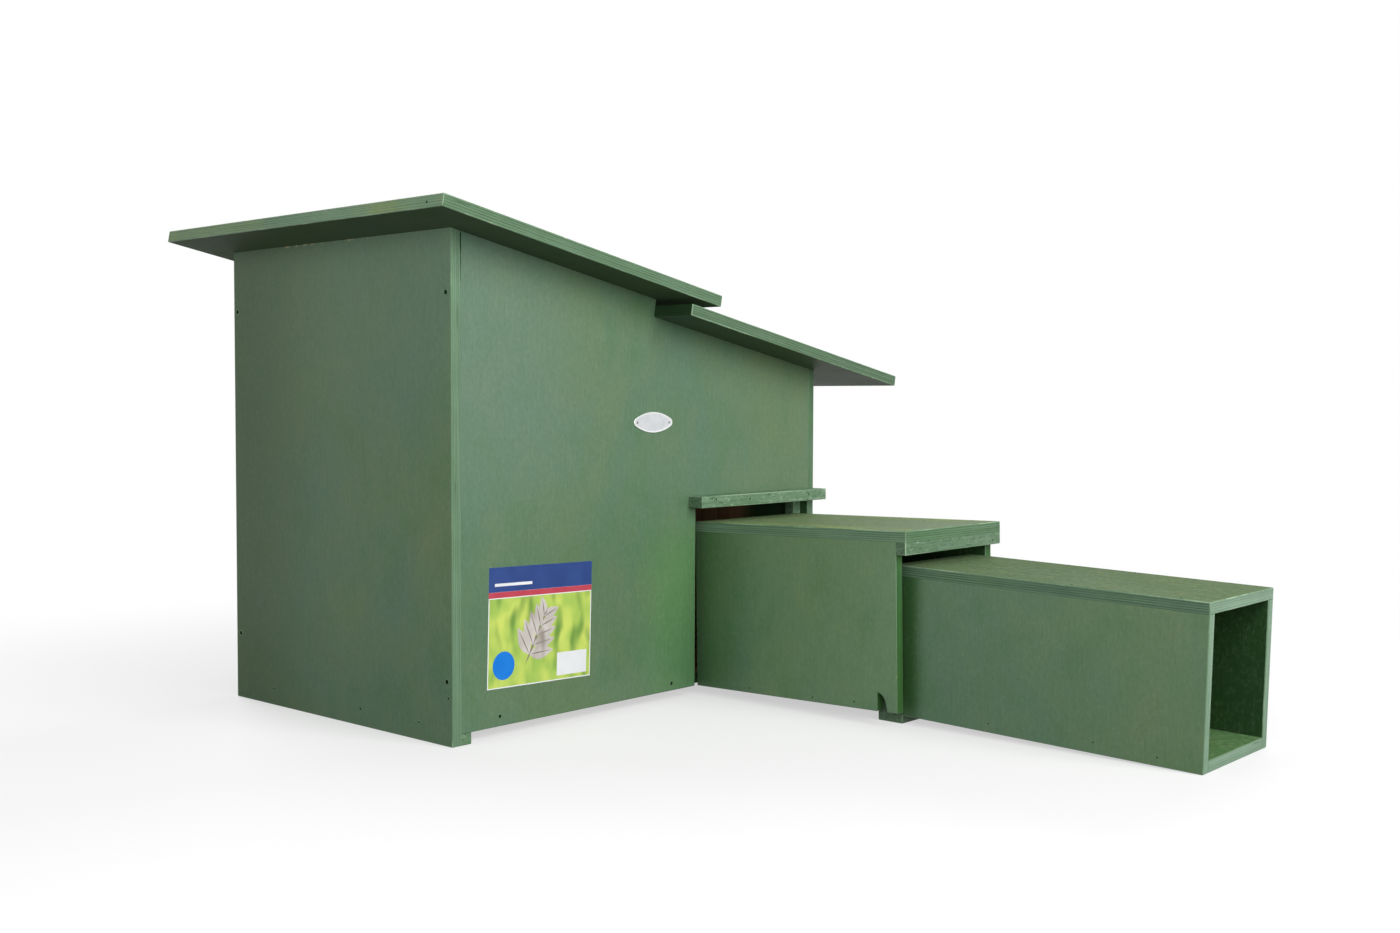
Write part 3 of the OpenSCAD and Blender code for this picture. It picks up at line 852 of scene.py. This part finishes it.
# Thin slabs
def slab(work, front, back, ink=0):
    """Adds a thin closed slab between two matching outlines."""
    near, far = ([work.verts.new(point) for point in outline] for outline in (front, back))
    faces = [work.faces.new(near), work.faces.new(far[::-1])]
    for k in range(len(near)):
        faces.append(work.faces.new((near[k - 1], far[k - 1], far[k], near[k])))
    for face in faces:
        face.material_index = ink


# Crack: heights and half widths in mm. Its right side is nearer to its middle line, and lies lower.
CRACK = [(523.0, 1.1), (516.0, 0.85), (509.0, 0.9), (502.0, 0.5), (494.0, 0.45), (485.0, 0.3), (474.0, 0.12)]
CRACK_X, CRACK_PROUD, CRACK_DEPTH = 12.2, 0.04, 0.3
CRACK_RIGHT, CRACK_DROP = 0.8, 3.0


def crack():
    """The open joint between the tall end's edge and the front panel, which closes below the roof."""
    work = bmesh.new()
    left = [(CRACK_X - half, z) for z, half in CRACK]
    right = [(CRACK_X + CRACK_RIGHT * half, z - CRACK_DROP) for z, half in CRACK]
    outline = left + right[::-1]
    front = [place(x, -CRACK_PROUD, z) for x, z in outline]
    back = [place(x, CRACK_DEPTH, z) for x, z in outline]
    slab(work, front, back)
    bmesh.ops.recalc_face_normals(work, faces=work.faces)
    mesh = to_mesh(work, "corner_crack")
    set_coordinates(mesh, CORNER, (RIGHT, UP, REAR))
    link(mesh, "corner_crack", "house", (hole,))


crack()

# Plate
PLATE_RIM, PLATE_SLOPE, PLATE_SUNK, PLATE_EDGE = 1.5 * MM, 0.5 * MM, 0.3 * MM, 0.35 * MM
PIN_SPAN, PIN_R, PIN_H, PIN_SUNK = 26.5 * MM, 1.4 * MM, 0.5 * MM, 0.1 * MM
PIN_PROFILE = [
    (0, -PIN_SUNK), (1.15 * PIN_R, -PIN_SUNK), (PIN_R, 0.5 * PIN_H), (0.6 * PIN_R, 0.9 * PIN_H), (0, PIN_H)
]
FIELD_SLOT, RIM_SLOT, PIN_SLOT = range(3)
plate_field = metal("plate_field", (0.73, 0.75, 0.77), 0.42, 0.06)
plate_rim = metal("plate_rim", (0.93, 0.94, 0.94), 0.30, 0.06)
pin_metal = metal("pin_metal", (0.34, 0.34, 0.33), 0.40, 0.10)


def plate():
    """The bare oval plate: a raised rim round a sunk field, and a domed pin at each end."""
    work = solid_copy("oval_plate")
    front = [face for face in work.faces if face.normal.dot(-REAR) > FLAT]
    outline = list(front[0].edges)
    bmesh.ops.inset_region(work, faces=front, thickness=PLATE_RIM, depth=0)
    bmesh.ops.inset_region(work, faces=front, thickness=PLATE_SLOPE, depth=-PLATE_SUNK)
    bmesh.ops.bevel(
        work, geom=outline, offset=PLATE_EDGE, segments=ROUND_STEPS, profile=ROUND, affect="EDGES"
    )
    for face in work.faces:
        face.material_index = FIELD_SLOT if face in front else RIM_SLOT
    centre = middle("oval_plate")
    field_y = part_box("oval_plate")[0].y + PLATE_SUNK
    for side in (-1, 1):
        at = Vector((centre.x + side * PIN_SPAN, field_y, centre.z))
        for face in lathe(work, at, -REAR, PIN_PROFILE):
            face.material_index = PIN_SLOT
    mesh = to_mesh(work, "oval_plate_metal")
    set_coordinates(mesh, centre, (RIGHT, UP, REAR))
    for polygon in mesh.polygons:
        polygon.use_smooth = True
    piece = link(mesh, "oval_plate_metal", "house", (plate_field, plate_rim, pin_metal))
    piece.modifiers.new("flat_faces", "WEIGHTED_NORMAL")
    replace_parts(piece, "oval_plate")


plate()

# Label, in mm. Rectangles are (left, foot, width, height), from its middle.
LABEL_AT = (121.2, 113.8)
LABEL_W, LABEL_H = 148.0, 127.0
LABEL_TURN = math.radians(-1.5)
PAPER_T, INK_T = 0.16, 0.05
LEFT, FOOT, TOP = -LABEL_W / 2, -LABEL_H / 2, LABEL_H / 2
MARGIN, WHITE_LINE = 1.2, 1.0
BAND_H, STRIPE_SPACE, STRIPE_H = 26.0, 6.0, 5.9
MEADOW_H = LABEL_H - BAND_H - STRIPE_SPACE - WHITE_LINE - MARGIN
SHEET = (LEFT, FOOT, LABEL_W, LABEL_H)
MEADOW = (LEFT + MARGIN, FOOT + MARGIN, LABEL_W - 2 * MARGIN, MEADOW_H)
BAND = (LEFT, TOP - BAND_H, LABEL_W, BAND_H)
STRIPE = (LEFT, TOP - BAND_H - STRIPE_SPACE, LABEL_W, STRIPE_H)
PANEL = (24.0, FOOT + 5.0, 44.0, 25.0)
BAND_LINE = (LEFT + 8.0, TOP - 20.0, 52.0, 3.0)
DISC_AT, DISC_R, DISC_POINTS = (-52.0, -40.0), 15.0, 40
STEM_AT, STEM_L, STEM_W, STEM_TURN = (-22.0, -42.0), 70.0, 3.2, 62.0
PAIRS, FIRST_PAIR, PAIR_STEP = 5, 12.0, 11.0
LEAF_L, LEAF_L_STEP = 34.0, 3.0
LEAF_W, LEAF_W_STEP = 15.0, 1.0
LEAF_SPREAD, SPREAD_STEP = 58.0, 5.0
LEAF_GAP, LEAF_POINTS, LEAF_FULLNESS = 0.3, 9, 0.8
VEIN_SHORT, VEIN_W = 3.0, 1.3
INK_LAYER, TOP_LAYER, LEAF_LAYER = 1, 2, 3
label_prints = {
    "paper": printed("label_paper", (0.80, 0.81, 0.82), (0.74, 0.75, 0.77)),
    "meadow": printed("label_meadow", (0.34, 0.52, 0.10), (0.58, 0.68, 0.14), (0.16, 0.30, 0.06)),
    "navy": printed("label_navy", (0.030, 0.060, 0.210), (0.036, 0.072, 0.240)),
    "crimson": printed("label_crimson", (0.47, 0.055, 0.085), (0.52, 0.070, 0.100)),
    "blue": printed("label_blue", (0.010, 0.180, 0.640), (0.014, 0.205, 0.690)),
    "leaf": printed("label_leaf", (0.50, 0.46, 0.42), (0.66, 0.62, 0.60), (0.30, 0.26, 0.23)),
    "vein": printed("label_vein", (0.20, 0.17, 0.15), (0.27, 0.23, 0.20)),
}
PRINTS = list(label_prints)


def rectangle(x, y, width, height):
    """Corners of a rectangle, from its lower left one."""
    return [(x, y), (x + width, y), (x + width, y + height), (x, y + height)]


def away(start, distance, turn):
    """The point at a distance from another, in a direction given in degrees."""
    angle = math.radians(turn)
    return start[0] + distance * math.cos(angle), start[1] + distance * math.sin(angle)


def disc(centre, radius):
    """Outline of a round spot."""
    return [away(centre, radius, 360 * k / DISC_POINTS) for k in range(DISC_POINTS)]


def leaf(start, length, width, turn):
    """Outline of a plain pointed leaf that grows from a point, in a direction given in degrees."""
    shares = [k / LEAF_POINTS for k in range(LEAF_POINTS + 1)]
    half = [(length * share, width / 2 * math.sin(math.pi * share ** LEAF_FULLNESS)) for share in shares]
    outline = [(u, -v) for u, v in half] + [(u, v) for u, v in reversed(half[1:-1])]
    c, s = math.cos(math.radians(turn)), math.sin(math.radians(turn))
    return [(start[0] + c * u - s * v, start[1] + s * u + c * v) for u, v in outline]


def sprig():
    """Outlines, layers and inks of a stem with pairs of leaves."""
    rows = [(leaf(STEM_AT, STEM_L, STEM_W, STEM_TURN), TOP_LAYER, "vein")]
    for pair in range(PAIRS):
        joint = away(STEM_AT, FIRST_PAIR + PAIR_STEP * pair, STEM_TURN)
        length, width = LEAF_L - LEAF_L_STEP * pair, LEAF_W - LEAF_W_STEP * pair
        for side in (-1, 1):
            turn = STEM_TURN + side * (LEAF_SPREAD - SPREAD_STEP * pair)
            start = away(joint, LEAF_GAP, turn)
            rows.append((leaf(start, length, width, turn), LEAF_LAYER + pair, "leaf"))
            rows.append((leaf(start, length - VEIN_SHORT, VEIN_W, turn), LEAF_LAYER + pair + 1, "vein"))
    return rows


def label():
    """A label without words: bands, a meadow of blurred greens and a plain sprig of leaves, on thin paper."""
    work = bmesh.new()
    c, s = math.cos(LABEL_TURN), math.sin(LABEL_TURN)

    def at(u, v, proud):
        """A place on the turned label, at a height over the front panel."""
        return place(LABEL_AT[0] + c * u - s * v, -proud, LABEL_AT[1] + s * u + c * v)

    rows = [
        (rectangle(*SHEET), 0, "paper"),
        (rectangle(*MEADOW), INK_LAYER, "meadow"),
        (rectangle(*BAND), INK_LAYER, "navy"),
        (rectangle(*STRIPE), INK_LAYER, "crimson"),
        (disc(DISC_AT, DISC_R), TOP_LAYER, "blue"),
        (rectangle(*PANEL), TOP_LAYER, "paper"),
        (rectangle(*BAND_LINE), TOP_LAYER, "paper"),
    ]
    for outline, layer, ink in rows + sprig():
        proud = PAPER_T + layer * INK_T
        foot = PAPER_T / 2 if layer else 0
        front, back = ([at(u, v, height) for u, v in outline] for height in (proud, foot))
        slab(work, front, back, PRINTS.index(ink))
    bmesh.ops.recalc_face_normals(work, faces=work.faces)
    mesh = to_mesh(work, "front_label")
    set_coordinates(mesh, at(0, 0, 0), (RIGHT, UP, REAR))
    link(mesh, "front_label", "house", list(label_prints.values()))


label()

# Stage
FLOOR_REACH, FLOOR_DROP = 12.0, 0.2 * MM
FLOOR_PALE, FLOOR_DIM = (0.95, 0.95, 0.95), (0.14, 0.14, 0.14)
SHADOW_REACH, SHADOW_WHITE = (0.65, 1.5), 0.55


def seen(tree):
    """1 for what the camera sees, also in reflections, and 0 for what only lights the object."""
    path = tree.node("ShaderNodeLightPath").outputs
    mirrored = tree.math("MAXIMUM", path["Is Glossy Ray"], path["Is Transmission Ray"])
    return tree.math("MAXIMUM", path["Is Camera Ray"], mirrored)


def floor_material():
    """White floor to the camera that keeps a soft shadow near the object and throws little light back up."""
    tree = material_tree("floor")
    here = tree.node("ShaderNodeTexCoord").outputs["Object"]
    distance = tree.node("ShaderNodeVectorMath", {0: here}, operation="LENGTH").outputs["Value"]
    white = tree.ramp(distance, *SHADOW_REACH, SHADOW_WHITE, 1.0)
    glow = tree.node("ShaderNodeEmission", {"Color": WHITE, "Strength": 1.0})
    plain = tree.nodes["Principled BSDF"].outputs[0]
    inputs = {0: tree.math("MULTIPLY", seen(tree), white), 1: plain, 2: glow.outputs[0]}
    both = tree.node("ShaderNodeMixShader", inputs)
    tree.set(tree.nodes["Material Output"].inputs["Surface"], both.outputs[0])
    to_camera = tree.node("ShaderNodeLightPath").outputs["Is Camera Ray"]
    return tree.finish(tree.mix(to_camera, FLOOR_DIM, FLOOR_PALE), 0.9, specular=0.1)


def stage():
    """The floor, just under the object's feet."""
    mesh = bpy.data.meshes.new("floor")
    corners = rectangle(-FLOOR_REACH, -FLOOR_REACH, 2 * FLOOR_REACH, 2 * FLOOR_REACH)
    mesh.from_pydata([(x, y, -FLOOR_DROP) for x, y in corners], [], [(0, 1, 2, 3)])
    floor = bpy.data.objects.new("floor", mesh)
    bpy.context.scene.collection.objects.link(floor)
    mesh.materials.append(floor_material())


stage()

# Light: name, place in metres, size, power in watts, and whether it shows in reflections
LIGHT_AIM = Vector((0.05, -0.15, 0.22))
WORLD_LIGHT = 0.08
LIGHTS = [
    ("key_high", (0.36, -2.88, 2.35), 1.4, 51, True),
    ("key_low", (0.10, -2.90, 1.0), 1.4, 41, False),
    ("left", (-0.90, -0.99, 0.6), 1.0, 10, True),
    ("side", (-1.90, 0.45, 0.7), 1.4, 7.5, True),
    ("rear", (0.50, 3.00, 1.5), 1.4, 60, False),
    ("right", (3.00, 0.30, 1.5), 1.4, 50, False),
]


def softbox(name, position, size, power, mirrored):
    """A square area light that looks at the object."""
    data = bpy.data.lights.new(name, "AREA")
    data.shape = "SQUARE"
    data.size = size
    data.energy = power
    lamp = bpy.data.objects.new(name, data)
    lamp.visible_camera = False
    lamp.visible_glossy = mirrored
    bpy.context.scene.collection.objects.link(lamp)
    lamp.location = position
    lamp.rotation_mode = "QUATERNION"
    lamp.rotation_quaternion = (LIGHT_AIM - Vector(position)).to_track_quat("-Z", "Y")


def world():
    """White to the camera and in reflections, and a dim even light on the object."""
    made = bpy.data.worlds.new("studio")
    tree = Tree(made)
    background = tree.nodes["Background"].inputs
    tree.set(background["Color"], WHITE)
    tree.set(background["Strength"], tree.ramp(seen(tree), 0.0, 1.0, WORLD_LIGHT, 1.0))
    bpy.context.scene.world = made


for light in LIGHTS:
    softbox(*light)
world()
bpy.context.scene.view_settings.view_transform = "Standard"

# Camera: its place in mm from the house's corner, and its focal length in pixels of the photograph
CAMERA_AT = (-962.6, -1186.0, 350.7)
AZIMUTH, ELEVATION, ROLL = math.radians(48.479), math.radians(2.434), math.radians(-0.211)
SENSOR = 36.0
FOCAL_PIXELS, IMAGE_WIDTH = 1499.65, 1400
CLIP_NEAR, CLIP_FAR = 0.01, 100


def camera():
    """The photograph's camera, from its place and its turn."""
    level = math.cos(ELEVATION)
    ahead = Vector((math.sin(AZIMUTH) * level, math.cos(AZIMUTH) * level, -math.sin(ELEVATION)))
    right = Vector((math.cos(AZIMUTH), -math.sin(AZIMUTH), 0))
    down = ahead.cross(right)
    across = math.cos(ROLL) * right + math.sin(ROLL) * down
    below = math.cos(ROLL) * down - math.sin(ROLL) * right
    data = bpy.data.cameras.new("camera")
    data.sensor_width = SENSOR
    data.lens = SENSOR * FOCAL_PIXELS / IMAGE_WIDTH
    data.clip_start, data.clip_end = CLIP_NEAR, CLIP_FAR
    made = bpy.data.objects.new("camera", data)
    bpy.context.scene.collection.objects.link(made)
    turn = Matrix((across, -below, -ahead)).transposed().to_4x4()
    made.matrix_world = Matrix.Translation(place(*CAMERA_AT)) @ turn
    bpy.context.scene.camera = made


camera()
